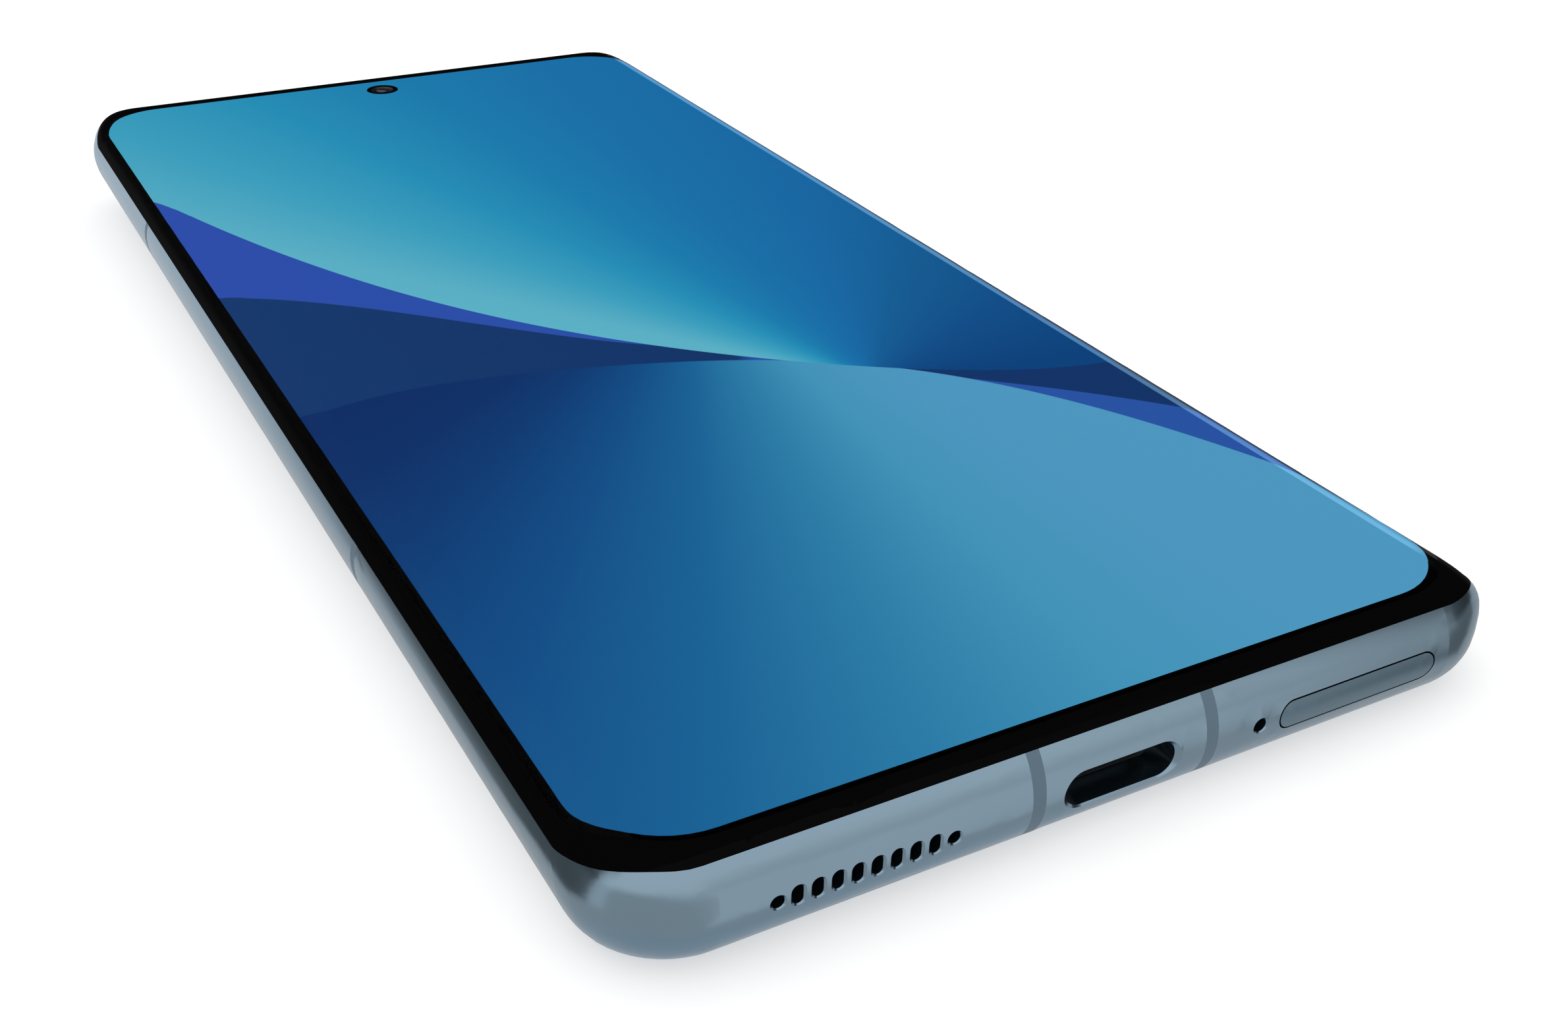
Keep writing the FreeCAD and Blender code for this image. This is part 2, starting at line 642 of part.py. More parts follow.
def speaker_box():
    big = box(-32.0, -16.2, -78.7, -55.0, 1.7, 5.6)
    small = box(-16.4, -8.9, -73.6, -55.0, 1.7, 5.6)
    corner = [e for e in vertical_edges(big) if e.BoundBox.XMax < -30 and e.BoundBox.YMax < -70]
    whole = join([big.makeFillet(4.0, corner), small])
    whole = join([whole, box(-34.2, -31.0, -58.6, -55.4, 1.7, 4.3)])
    chamber = box(-31.3, -17.5, -77.0, -59.4, 2.4, 5.1)
    duct = box(-27.0, -17.6, -79.0, -76.5, 3.2, 5.0)
    clear = [cylinder(x, y, 4.3, 1.4, 2) for x, y, seat in SCREWS]
    return screw_holes(whole.cut(Part.makeCompound([chamber, duct] + clear)))


def speaker_driver():
    return slab(-30.5, -18.5, -75.6, -60.6, 2.6, 4.6, 3.0)


def speaker_mesh():
    return box(-26.9, -14.3, -79.05, -78.8, 2.9, 5.26).cut(box(-16.1, -14.0, -78.9, -78, 2, 6))


def microphones():
    lower = box(-15.2, -11.6, -78.3, -75.4, 2.5, 3.7)
    upper = box(8.0, 11.4, 76.0, 78.9, 3.2, 4.8)
    return Part.makeCompound([lower, upper])


def haptic_housing():
    shell_box = slab(-8.0, 8.0, -71.2, -61.6, 2.5, 5.6, 0.8)
    return shell_box.cut(box(-7.7, 7.7, -70.9, -61.9, 2.8, 5.3))


def haptic_mass():
    return slab(-6.6, 6.6, -70.5, -62.3, 3.0, 5.1, 0.8)


def display_flex():
    drop = box(-5.6, -0.6, -74.75, -74.60, 5.68, 6.95)
    tail = box(-5.6, -0.6, -74.75, -56.2, 5.68, 5.78)
    return join([drop, tail])


def main_flex():
    return box(0.6, 5.6, -58.2, 38.4, 5.66, 5.78)


def board_connectors():
    sockets = [box(x, x + 4.0, -58.2, -56.2, 2.5, 5.66) for x in (-5.1, 1.1)]
    sockets += [box(1.1, 5.1, 36.2, 38.2, 4.4, 5.66)]
    sockets += [box(x, x + 5.0, 41.0, 43.0, 2.7, 3.6) for x in (-5.6, -0.4)]
    return Part.makeCompound(sockets)


# ---------------------------------------------------------------- battery and charging
def battery():
    x0, x1, y0, y1 = BATTERY
    cell = slab(x0, x1, y0, y1, *BATTERY_Z, 2.0)
    sides = [e for e in cell.Edges if e.BoundBox.ZLength < 1e-6]
    return cell.makeFillet(0.6, sides)


def battery_tape():
    strips = [box(x, x + 9.0, BATTERY[2] + 4, BATTERY[3] - 4, BATTERY_Z[1], 5.72) for x in (-24.0, 15.0)]
    return Part.makeCompound(strips)


def battery_lead():
    return box(8.0, 15.0, 31.2, 37.6, 2.95, 3.25)


def charging_coil():
    rings = [tube(0, -8, 0.92, 12.5 + 1.25 * i + 0.95, 12.5 + 1.25 * i, 0.16) for i in range(9)]
    lead = box(-1.0, 1.0, 15.0, 33.6, 0.92, 1.08)
    return Part.makeCompound(rings + [lead])


def coil_ferrite():
    return cylinder(0, -8, 1.08, 25.5, 0.14)


# ---------------------------------------------------------------- top electronics
def board_plan(z0, z1):
    left = box(-33.8, 6.0, 34.6, 69.8, z0, z1)
    strip = box(5.9, 32.9, 34.6, 38.6, z0, z1)
    return join([left, strip])


def main_board():
    return screw_holes(board_plan(3.6, 4.4))


def shield_can(x0, x1, y0, y1, z0, z1, open_up):
    """A drawn sheet cover over a group of chips, open towards the board."""
    can = slab(x0, x1, y0, y1, z0, z1, 0.8)
    low, high = (z0 + 0.2, z1 + 1) if open_up else (z0 - 1, z1 - 0.2)
    return can.cut(box(x0 + 0.2, x1 - 0.2, y0 + 0.2, y1 - 0.2, low, high))


def board_shields():
    front = shield_can(-30.6, 1.6, 40.0, 66.8, 4.4, 5.6, False)
    rear = shield_can(-30.6, -7.0, 40.0, 66.8, 2.05, 3.6, True)
    return Part.makeCompound([front, rear])


def board_chips():
    spots = [(-22, 58, 14, 13), (-6, 59, 11, 9), (-24, 46, 9, 8), (-8, 47, 12, 7)]
    front = [box(x - w / 2, x + w / 2, y - d / 2, y + d / 2, 4.4, 5.3) for x, y, w, d in spots]
    rear = [box(x, x + 6, y, y + 5, 2.6, 3.6) for x in (-28, -20, -13.5) for y in (42, 50, 58)]
    return Part.makeCompound(front + rear)


def board_cover():
    lid = box(-33.8, 6.0, 34.6, 69.8, 1.6, 2.0)
    ribs = [box(-33.8, -33.0, 39.0, 66.0, 1.9, 3.6), box(5.2, 6.0, 40.0, 66.0, 1.9, 3.6)]
    return screw_holes(join([lid] + ribs))


def graphite_sheet():
    return slab(-33.0, 5.2, 34.0, 70.0, 0.92, 1.02, 2.0)


def earpiece_speaker():
    return slab(-14.4, -4.6, 71.0, 78.7, 2.2, 5.6, 0.8)


def earpiece_mesh():
    return box(-13.6, -4.6, 78.8, 79.05, 3.1, 5.1)


def antenna_cable():
    wire = cylinder(32.2, -54.0, 3.05, 0.4, 89.0, (0, 1, 0))
    plugs = [box(31.5, 32.9, -55.8, -53.6, 2.5, 3.5), box(31.5, 32.9, 34.7, 36.4, 2.6, 3.6)]
    return join([wire] + plugs)


def screws():
    pieces = []
    for x, y, seat in SCREWS:
        head = cylinder(x, y, seat - 0.5, 1.15, 0.5)
        cross = box(x - 0.65, x + 0.65, y - 0.14, y + 0.14, 0, seat - 0.25)
        turned = box(x - 0.14, x + 0.14, y - 0.65, y + 0.65, 0, seat - 0.25)
        shank = cylinder(x, y, seat - 0.05, 0.6, 6.2 - seat)
        pieces.append(head.cut(cross).cut(turned).fuse(shank).removeSplitter())
    return Part.makeCompound(pieces)


NODES = [
    cover_glass, display_mask, display_panel, display_backing, display_adhesive,
    vapor_chamber, fingerprint_sensor, mid_frame, antenna_bands,
    back_glass, back_adhesive, camera_deco, camera_cover_glass, lens_rings, flash_lens, flash_led,
    main_camera, main_lens_barrel, wide_camera, tele_camera, tele_lens_barrel, front_camera,
    power_button, volume_rocker, side_key_flex,
    sim_tray, sim_card, tray_seal, sim_socket, eject_rod, eject_lever, eject_pusher,
    usb_receptacle, usb_tongue, usb_contacts, usb_gasket,
    sub_board, speaker_box, speaker_driver, speaker_mesh, microphones, haptic_housing, haptic_mass,
    display_flex, main_flex, board_connectors, battery, battery_tape, battery_lead,
    charging_coil, coil_ferrite, main_board, board_shields, board_chips, board_cover,
    graphite_sheet, earpiece_speaker, earpiece_mesh, antenna_cable, screws,
]

os.makedirs("parts", exist_ok=True)
for make in NODES:
    make().exportStep("parts/" + make.__name__ + ".step")
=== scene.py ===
"""Looks of the smartphone: materials, lens elements, floor, studio surroundings and camera."""

import json
import math

import bmesh
import bpy
from mathutils import Matrix, Vector


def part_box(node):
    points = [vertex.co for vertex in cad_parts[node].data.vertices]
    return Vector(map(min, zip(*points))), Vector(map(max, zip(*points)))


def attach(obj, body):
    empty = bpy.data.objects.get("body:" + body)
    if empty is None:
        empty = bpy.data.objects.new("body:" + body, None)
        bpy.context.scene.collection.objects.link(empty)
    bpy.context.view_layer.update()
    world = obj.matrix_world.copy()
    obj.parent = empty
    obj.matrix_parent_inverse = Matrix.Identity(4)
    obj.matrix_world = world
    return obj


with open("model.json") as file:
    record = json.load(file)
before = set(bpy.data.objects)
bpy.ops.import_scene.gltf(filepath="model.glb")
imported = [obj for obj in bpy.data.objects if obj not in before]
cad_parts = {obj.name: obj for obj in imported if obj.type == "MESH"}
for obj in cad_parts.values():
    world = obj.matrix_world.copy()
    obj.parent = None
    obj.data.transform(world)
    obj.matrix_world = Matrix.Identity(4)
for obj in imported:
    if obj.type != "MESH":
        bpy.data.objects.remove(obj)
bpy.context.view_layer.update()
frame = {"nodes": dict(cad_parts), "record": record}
nodes = frame["nodes"]

MM = 0.001                     # lengths are in mm here and in metres in Blender

# ---------------------------------------------------------------- sizes read from the frame
shell_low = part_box("mid_frame")[0]
HALF_WIDTH = -shell_low.x / MM
HALF_LENGTH = -shell_low.y / MM


def middle_of(node):
    """The middle of a CAD node in plan."""
    low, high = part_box(node)
    return Vector(((low.x + high.x) / 2 / MM, (low.y + high.y) / 2 / MM))


MAIN_LENS = middle_of("main_lens_barrel")
WIDE_LENS = middle_of("wide_camera")
TELE_LENS = middle_of("tele_lens_barrel")
HOLE_CAMERA = middle_of("front_camera")


# ---------------------------------------------------------------- colours and node helpers
def colour(code):
    """A hexadecimal display colour as linear light."""
    channels = [int(code[i:i + 2], 16) / 255 for i in (0, 2, 4)]
    linear = [c / 12.92 if c <= 0.04045 else ((c + 0.055) / 1.055) ** 2.4 for c in channels]
    return (*linear, 1.0)


def mix_colours(tree, share, a, b, kind="MIX"):
    """Colour a where share is 0; where it is 1, b, or a plus b if kind is ADD."""
    node = tree.nodes.new("ShaderNodeMix")
    node.data_type = "RGBA"
    node.blend_type = kind
    tree.links.new(share.socket, node.inputs["Factor"])
    for socket, item in zip([s for s in node.inputs if s.type == "RGBA"], (a, b)):
        if isinstance(item, tuple):
            socket.default_value = item
        else:
            tree.links.new(item, socket)
    return [s for s in node.outputs if s.type == "RGBA"][0]


class Value:
    """A number in a node tree. Sums, products and the like become Math nodes."""

    def __init__(self, tree, socket):
        self.tree = tree
        self.socket = socket

    def math(self, operation, *others):
        node = self.tree.nodes.new("ShaderNodeMath")
        node.operation = operation
        for slot, item in zip(node.inputs, (self, *others)):
            if isinstance(item, Value):
                self.tree.links.new(item.socket, slot)
            else:
                slot.default_value = item
        return Value(self.tree, node.outputs[0])

    def __add__(self, other):
        return self.math("ADD", other)

    def __sub__(self, other):
        return self.math("SUBTRACT", other)

    def __mul__(self, other):
        return self.math("MULTIPLY", other)

    def inverse(self):
        """One minus this value."""
        return self.math("MULTIPLY_ADD", -1.0, 1.0)

    def step(self, low, high):
        """0 below low, 1 above high, smooth between; high below low turns it round."""
        node = self.tree.nodes.new("ShaderNodeMapRange")
        node.interpolation_type = "SMOOTHSTEP"
        self.tree.links.new(self.socket, node.inputs["Value"])
        ends = (low, high, 0.0, 1.0) if high > low else (high, low, 1.0, 0.0)
        for name, number in zip(("From Min", "From Max", "To Min", "To Max"), ends):
            node.inputs[name].default_value = number
        return Value(self.tree, node.outputs["Result"])

    def between(self, low, high, soft):
        """1 from low to high, falling to 0 over soft on each side."""
        return self.step(low - soft, low + soft) * self.step(high + soft, high - soft)

    def span(self, low, high):
        """From low at 0 to high at 1."""
        return self.math("MULTIPLY_ADD", high - low, low)

    def ramp(self, stops):
        """A colour that follows this value through (value, colour) stops."""
        low, high = stops[0][0], stops[-1][0]
        node = self.tree.nodes.new("ShaderNodeValToRGB")
        place = self.math("SUBTRACT", low) * (1.0 / (high - low))
        self.tree.links.new(place.socket, node.inputs["Fac"])
        bar = node.color_ramp.elements
        while len(bar) < len(stops):
            bar.new(1.0)
        for element, (at, code) in zip(bar, stops):
            element.position = (at - low) / (high - low)
            element.color = colour(code)
        return node.outputs["Color"]


def polynomial(x, factors):
    """factors[0] + factors[1] x + factors[2] x squared and so on."""
    total = x * factors[-1] + factors[-2]
    for factor in reversed(factors[:-2]):
        total = total * x + factor
    return total


class Paint:
    """A new material with its node tree, its Principled shader and object coordinates in mm."""

    def __init__(self, name):
        self.material = bpy.data.materials.new(name)
        self.material.use_nodes = True
        self.tree = self.material.node_tree
        self.tree.nodes.clear()
        self.output = self.tree.nodes.new("ShaderNodeOutputMaterial")
        self.shader = self.tree.nodes.new("ShaderNodeBsdfPrincipled")
        self.link(self.shader.outputs[0], self.output.inputs["Surface"])
        where = self.tree.nodes.new("ShaderNodeTexCoord")
        scale = self.tree.nodes.new("ShaderNodeVectorMath")
        scale.operation = "SCALE"
        scale.inputs["Scale"].default_value = 1 / MM
        self.link(where.outputs["Object"], scale.inputs[0])
        self.place = scale.outputs["Vector"]
        split = self.tree.nodes.new("ShaderNodeSeparateXYZ")
        self.link(self.place, split.inputs[0])
        self.x, self.y, self.z = [Value(self.tree, socket) for socket in split.outputs]

    def link(self, source, socket):
        self.tree.links.new(source.socket if isinstance(source, Value) else source, socket)

    def node(self, kind, **sockets):
        """A new node with constants or values on its inputs, all named as on the node."""
        node = self.tree.nodes.new(kind)
        for name, item in sockets.items():
            if isinstance(item, Value):
                self.link(item, node.inputs[name])
            else:
                node.inputs[name].default_value = item
        return node

    def set(self, **sockets):
        """Constants on the shader; underscores in the names stand for spaces."""
        for name, number in sockets.items():
            self.shader.inputs[name.replace("_", " ")].default_value = number

    def feed(self, name, source):
        """A value or a colour for one input of the shader."""
        self.link(source, self.shader.inputs[name])

    def noise(self, size, detail=3.0):
        """A smooth random value from 0 to 1 with features about size mm across."""
        scale = self.node("ShaderNodeMapping", Scale=[1 / size] * 3)
        self.link(self.place, scale.inputs["Vector"])
        node = self.node("ShaderNodeTexNoise", Scale=1.0, Detail=detail)
        self.link(scale.outputs["Vector"], node.inputs["Vector"])
        return Value(self.tree, node.outputs["Fac"])

    def blend(self, share, a, b, kind="MIX"):
        """Two colours mixed by a share."""
        return mix_colours(self.tree, share, a, b, kind)

    def mix_shaders(self, share, first, second):
        """The first node's shader where share is 0 and the second's where it is 1."""
        node = self.node("ShaderNodeMixShader")
        self.link(share, node.inputs["Fac"])
        self.link(first.outputs[0], node.inputs[1])
        self.link(second.outputs[0], node.inputs[2])
        return node

    def show(self, node):
        """Puts this node's shader on the surface in place of the Principled one."""
        self.tree.nodes.remove(self.shader)
        self.link(node.outputs[0], self.output.inputs["Surface"])

    def bump(self, height, depth):
        """Relief depth mm deep from a value between 0 and 1."""
        node = self.node("ShaderNodeBump", Distance=depth * MM, Height=height)
        self.feed("Normal", node.outputs["Normal"])

    def fresnel(self):
        """The share of light that glass mirrors."""
        return Value(self.tree, self.node("ShaderNodeFresnel", IOR=GLASS_IOR).outputs[0])

    def distance(self, spot):
        """Plan distance in mm from a spot."""
        dx = self.x - spot[0]
        dy = self.y - spot[1]
        return (dx * dx + dy * dy).math("SQRT")

    def texture(self, rough, grain, depth, sheen_size):
        """Uneven gloss and a fine grain. Gives back the blotches that the gloss follows."""
        blotch = self.noise(sheen_size, 2.0)
        fine = self.noise(grain, 2.0)
        self.feed("Roughness", (blotch * 0.5 + fine * 0.5).span(rough * 0.88, rough * 1.12))
        self.bump(fine, depth)
        return blotch

    def finish(self, base, rough, grain=0.25, depth=0.004, mottle=0.06, sheen_size=14.0):
        """The common surface: a base colour with faint blotches over that texture."""
        blotch = self.texture(rough, grain, depth, sheen_size)
        dark = tuple(c * (1 - mottle) for c in base) + (1.0,)
        light = tuple(min(c * (1 + mottle), 1.0) for c in base) + (1.0,)
        self.feed("Base Color", self.blend(blotch.step(0.3, 0.7), dark, light))
        return self


def coat(node, paint):
    """Gives a CAD node one material."""
    slots = nodes[node].data.materials
    slots.clear()
    slots.append(paint.material)


# ---------------------------------------------------------------- the lit area
LIT_SIDE = HALF_WIDTH - 2.05
LIT_LOW = -HALF_LENGTH + 3.86
LIT_HIGH = HALF_LENGTH - 3.02
LIT_CORNER = 7.0
PRINT_BACK = 0.8               # how far the black print on the glass starts outside the lit area


def lit_area(x, y, grow, soft):
    """1 inside the lit area grown by grow mm, 0 outside; in plan a rectangle with round corners."""
    reach = None
    for place, low, high in ((x, -LIT_SIDE, LIT_SIDE), (y, LIT_LOW, LIT_HIGH)):
        straight = (high - low) / 2 - LIT_CORNER
        over = ((place - (low + high) / 2).math("ABSOLUTE") - straight).math("MAXIMUM", 0.0)
        reach = over * over if reach is None else reach + over * over
    edge = LIT_CORNER + grow
    return reach.math("SQRT").step(edge + soft, edge - soft)


# ---------------------------------------------------------------- outside materials
MIDDLE = 4.08                  # height of the frame's middle plane
END_ROLL = 5.37                # edge roll of the bottom edge
SLOT_MIDDLE = 21.12            # middle, half length and half height of the SIM tray's slot
SLOT_REACH = 7.51
SLOT_RISE = 1.35
SLOT_OUTER = -79.9             # the slot's walls are in shade from here outwards
SLOT_INNER = -79.4
SLOT_SHADE = (0.010, 0.012, 0.014, 1.0)
GLASS_IOR = 1.5


def anodised(name, base=(0.265, 0.376, 0.462), rough=0.22):
    """Bead-blasted, dyed aluminium with a satin gloss, and painted shade on the walls of the SIM
    tray's slot.
    """
    paint = Paint(name)
    paint.set(Metallic=1.0)
    paint.finish(base, rough, grain=0.10, depth=0.0003, mottle=0.015, sheen_size=22.0)
    dyed = paint.shader.inputs["Base Color"].links[0].from_socket
    level = paint.z - MIDDLE
    face = (level * level * -1.0 + END_ROLL * END_ROLL).math("SQRT") + (HALF_LENGTH - END_ROLL)
    inside = (face + paint.y).step(0.03, 0.09)
    beside = (paint.x - SLOT_MIDDLE).math("ABSOLUTE").step(SLOT_REACH + 0.15, SLOT_REACH)
    near = level.math("ABSOLUTE").step(SLOT_RISE + 0.15, SLOT_RISE)
    mouth = beside * near * paint.y.step(SLOT_INNER, SLOT_OUTER)
    # painted shade: SLOT_SHADE replaces the dyed colour on the slot's walls, where shade falls
    paint.feed("Base Color", paint.blend(inside * mouth, dyed, SLOT_SHADE))
    return paint


def band_plastic():
    """The dyed plastic of the antenna bands."""
    paint = Paint("band_plastic")
    paint.set(IOR=1.5)
    return paint.finish((0.070, 0.118, 0.160), 0.42, grain=0.15, depth=0.001, mottle=0.04)


def frosted_back():
    """Etched glass over a metallic ink: soft wide gloss, faint sparkle, slight shade to one end."""
    paint = Paint("back_glass")
    paint.set(Metallic=0.35, IOR=GLASS_IOR, Coat_Weight=0.35, Coat_Roughness=0.32)
    paint.texture(0.42, grain=0.09, depth=0.0010, sheen_size=40.0)
    along = paint.y.step(-HALF_LENGTH, HALF_LENGTH)
    glitter = paint.noise(0.16, 0.0).step(0.55, 0.75)
    low = paint.blend(glitter, (0.215, 0.300, 0.380, 1.0), (0.250, 0.345, 0.430, 1.0))
    high = paint.blend(glitter, (0.255, 0.350, 0.430, 1.0), (0.295, 0.400, 0.490, 1.0))
    paint.feed("Base Color", paint.blend(along, low, high))
    return paint


def clear_glass(paint, strength):
    """Clear glass bonded to what is under it: bends light on its way in and has a gloss outside."""
    smears = paint.noise(9.0, 4.0).span(0.015, 0.05)
    bend = paint.node("ShaderNodeBsdfRefraction", IOR=GLASS_IOR, Roughness=0.0)
    gloss = paint.node("ShaderNodeBsdfGlossy", Roughness=smears)
    front = paint.mix_shaders(paint.fresnel() * strength, bend, gloss)
    side = paint.node("ShaderNodeNewGeometry")
    through = paint.node("ShaderNodeBsdfTransparent")
    return paint.mix_shaders(side.outputs["Backfacing"], front, through)


def front_glass():
    """Clear over the picture, and over the border as black as the ink bonded to its inside."""
    paint = Paint("front_glass")
    ink = paint.node("ShaderNodeBsdfDiffuse", Color=(0.0014, 0.0014, 0.0016, 1.0))
    gloss = paint.node("ShaderNodeBsdfGlossy", Roughness=paint.noise(6.0).span(0.16, 0.24))
    black = paint.mix_shaders(paint.fresnel() * 0.05, ink, gloss)
    opening = lit_area(paint.x, paint.y, PRINT_BACK, 0.05)
    paint.show(paint.mix_shaders(opening, black, clear_glass(paint, 0.20)))
    return paint


def border_ink():
    """The black ring of ink between the glass and the panel."""
    paint = Paint("border_ink")
    paint.set(Specular_IOR_Level=0.02)
    return paint.finish((0.0016, 0.0016, 0.0018), 0.45, grain=0.3, depth=0.0005, mottle=0.1)


# ---------------------------------------------------------------- the lit picture
UPPER_FOLD = (-16.3, -0.94, 0.0117, -0.00017, 0.000004)
LOWER_FOLD = (-19.1, -0.40, -0.0080, -0.00022, -0.000006)
LEFT_CREASE = (-15.7, -0.628, 0.0244, 0.00051)
RIGHT_CREASE = (-14.0, -1.195, 0.0195, -0.000374)
FOLD_SOFT = 0.10               # half width of a fold's edge, mm
ROLL_FROM = 32.6               # past this the picture is stretched a little over the left curve
ROLL_STRETCH = 0.3
RIBBON_TURN = (3.0, 5.0)       # across this the ribbon's crease passes from one line to the other
STRIP_RISE = (HALF_WIDTH - 3.48, HALF_WIDTH - 3.36)     # a painted highlight along the right curve, in place of the curved glass's reflection
STRIP_FALL = (HALF_WIDTH - 2.35, HALF_WIDTH - 3.05)
STRIP_START = (-75.5, -72.5)   # where it fades in, from below
STRIP_PAINTED_HIGHLIGHT = (0.075, 0.165, 0.235, 1.0)
CURVE_SHADE = (HALF_WIDTH - 2.62, HALF_WIDTH - 2.35)    # painted shade on the dimmer foot of that curve
CURVE_SHADE_START = (-70, -60)
BRIGHT = 1.06                  # emission strengths on the flat and under the painted shade at that foot
SHADED = 0.10
UPPER_CENTRE = (12.0, -30.0)   # the two fields turn their colours round these spots
LOWER_CENTRE = (10.0, 4.0)
UPPER_STOPS = [(-10, "083f78"), (25, "0e4b85"), (50, "11598f"), (68, "1565a0"), (84, "166ea5"),
               (95, "1979aa"), (105, "238bb3"), (115, "3a9bba"), (126, "58acc1"), (145, "5cb0c3")]
LOWER_STOPS = [(15, "0a2960"), (35, "0a2f66"), (45, "0b3a72"), (55, "0f4b83"), (65, "176092"),
               (75, "2a7aa4"), (85, "408fb4"), (96, "4a93bb"), (150, "4e95be")]


def turn(x, y, centre, sign):
    """The angle in degrees round a centre, from the sign x direction."""
    dx = (x - centre[0]) * sign
    dy = (y - centre[1]) * sign
    return dy.math("ARCTAN2", dx) * math.degrees(1.0)


def lit_display():
    """An abstract picture of two turning blue fields with a folded ribbon between them."""
    paint = Paint("display")
    x = paint.x
    roll = (x * -1.0 - ROLL_FROM).math("MAXIMUM", 0.0)
    y = paint.y - roll * roll * ROLL_STRETCH
    upper = turn(x, y, UPPER_CENTRE, 1.0).ramp(UPPER_STOPS)
    lower = turn(x, y, LOWER_CENTRE, -1.0).ramp(LOWER_STOPS)
    violet = paint.blend(x.step(-35, 35), colour("2a4ba6"), colour("26509e"))
    navy = paint.blend(x.step(-35, 10), colour("12366a"), colour("103164"))
    left = (y - polynomial(x, LEFT_CREASE)).step(-FOLD_SOFT, FOLD_SOFT)
    right = (y - polynomial(x, RIGHT_CREASE)).step(FOLD_SOFT, -FOLD_SOFT)
    on_right = x.step(*RIBBON_TURN)
    share = left * on_right.inverse() + right * on_right
    ribbon = paint.blend(share, navy, violet)
    above = (y - polynomial(x, UPPER_FOLD)).step(-FOLD_SOFT, FOLD_SOFT)
    below = (y - polynomial(x, LOWER_FOLD)).step(FOLD_SOFT, -FOLD_SOFT)
    picture = paint.blend(above, paint.blend(below, ribbon, lower), upper)
    # painted highlight: a light strip added to the picture along the right curve, where the curved
    # glass mirrors light
    strip = x.step(*STRIP_RISE) * x.step(*STRIP_FALL) * paint.y.step(*STRIP_START)
    # painted shade: the picture's emission is turned down at the foot of the right curve
    shade = x.step(*CURVE_SHADE) * paint.y.step(*CURVE_SHADE_START)
    paint.set(Base_Color=(0.001, 0.001, 0.0015, 1.0), Specular_IOR_Level=0.05)
    paint.feed("Emission Color", paint.blend(strip, picture, STRIP_PAINTED_HIGHLIGHT, "ADD"))
    paint.feed("Emission Strength", lit_area(x, paint.y, 0.0, 0.03) * shade.span(BRIGHT, SHADED))
    paint.feed("Roughness", paint.noise(0.2, 1.0).span(0.35, 0.45))
    return paint


# ---------------------------------------------------------------- island and lenses
MAIN_WINDOW = 5.35             # radii of the clear windows in the island's glass
SMALL_WINDOW = 3.75
WINDOW_SOFT = 0.05
LENS_RINGS = 10                # facets of a lens from crown to rim, and round it
LENS_AROUND = 48
LENS_RIM = 0.25                # height of a lens's rim


def island_glass():
    """Black printed glass with a clear window over each lens."""
    paint = Paint("island_glass")
    ink = paint.node("ShaderNodeBsdfPrincipled", Roughness=paint.noise(6.0).span(0.05, 0.09))
    ink.inputs["Base Color"].default_value = (0.006, 0.007, 0.009, 1.0)
    windows = paint.distance(MAIN_LENS).step(MAIN_WINDOW, MAIN_WINDOW - WINDOW_SOFT)
    for spot in (WIDE_LENS, TELE_LENS):
        window = paint.distance(spot).step(SMALL_WINDOW, SMALL_WINDOW - WINDOW_SOFT)
        windows = windows.math("MAXIMUM", window)
    paint.show(paint.mix_shaders(windows, ink, clear_glass(paint, 1.0)))
    return paint


def lens_coating():
    """A dark lens with a coating that turns from violet to green towards its edge."""
    paint = Paint("lens_coating")
    rim = paint.node("ShaderNodeLayerWeight", Blend=0.35)
    share = Value(paint.tree, rim.outputs["Facing"]).step(0.05, 0.7)
    tint = paint.blend(share, (0.020, 0.008, 0.045, 1.0), (0.004, 0.035, 0.030, 1.0))
    paint.feed("Base Color", tint)
    paint.set(IOR=1.9, Coat_Weight=1.0, Coat_Roughness=0.02)
    paint.feed("Roughness", paint.noise(1.5).span(0.03, 0.07))
    return paint


def lens_element(name, spot, radius, apex, sag, body, coating):
    """A domed lens, its crown at height apex on the outside and sag mm proud of its rim."""
    mesh = bpy.data.meshes.new(name)
    work = bmesh.new()
    side = 1.0 if apex > 0 else -1.0
    rows = []
    for i in range(1, LENS_RINGS + 1):
        r = radius * i / LENS_RINGS
        z = apex - side * sag * (i / LENS_RINGS) ** 2
        row = []
        for k in range(LENS_AROUND):
            a = 2 * math.pi * k / LENS_AROUND
            point = (spot.x + r * math.cos(a), spot.y + r * math.sin(a), z)
            row.append(work.verts.new([c * MM for c in point]))
        rows.append(row)
    under = [work.verts.new([v.co.x, v.co.y, v.co.z - side * LENS_RIM * MM]) for v in rows[-1]]
    rows.append(under)
    crown = work.verts.new([spot.x * MM, spot.y * MM, apex * MM])
    base = work.verts.new([spot.x * MM, spot.y * MM, under[0].co.z])
    for k in range(LENS_AROUND):
        after = (k + 1) % LENS_AROUND
        work.faces.new((crown, rows[0][k], rows[0][after]))
        for inner, outer in zip(rows[:-1], rows[1:]):
            work.faces.new((inner[k], outer[k], outer[after], inner[after]))
        work.faces.new((base, under[after], under[k]))
    bmesh.ops.recalc_face_normals(work, faces=work.faces)
    work.to_mesh(mesh)
    work.free()
    for face in mesh.polygons:
        face.use_smooth = True
    piece = bpy.data.objects.new(name, mesh)
    bpy.context.scene.collection.objects.link(piece)
    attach(piece, body)
    piece.data.materials.append(coating.material)


def lenses():
    """The front element of each camera; heights of the crowns are over the back glass."""
    coating = lens_coating()
    lens_element("main_front_lens", MAIN_LENS, 4.1, -1.15, 0.35, "main_lens", coating)
    lens_element("wide_front_lens", WIDE_LENS, 2.8, -1.20, 0.28, "root", coating)
    lens_element("tele_front_lens", TELE_LENS, 2.7, -1.20, 0.28, "tele_lens", coating)
    lens_element("front_camera_lens", HOLE_CAMERA, 0.80, 7.30, 0.12, "root", coating)


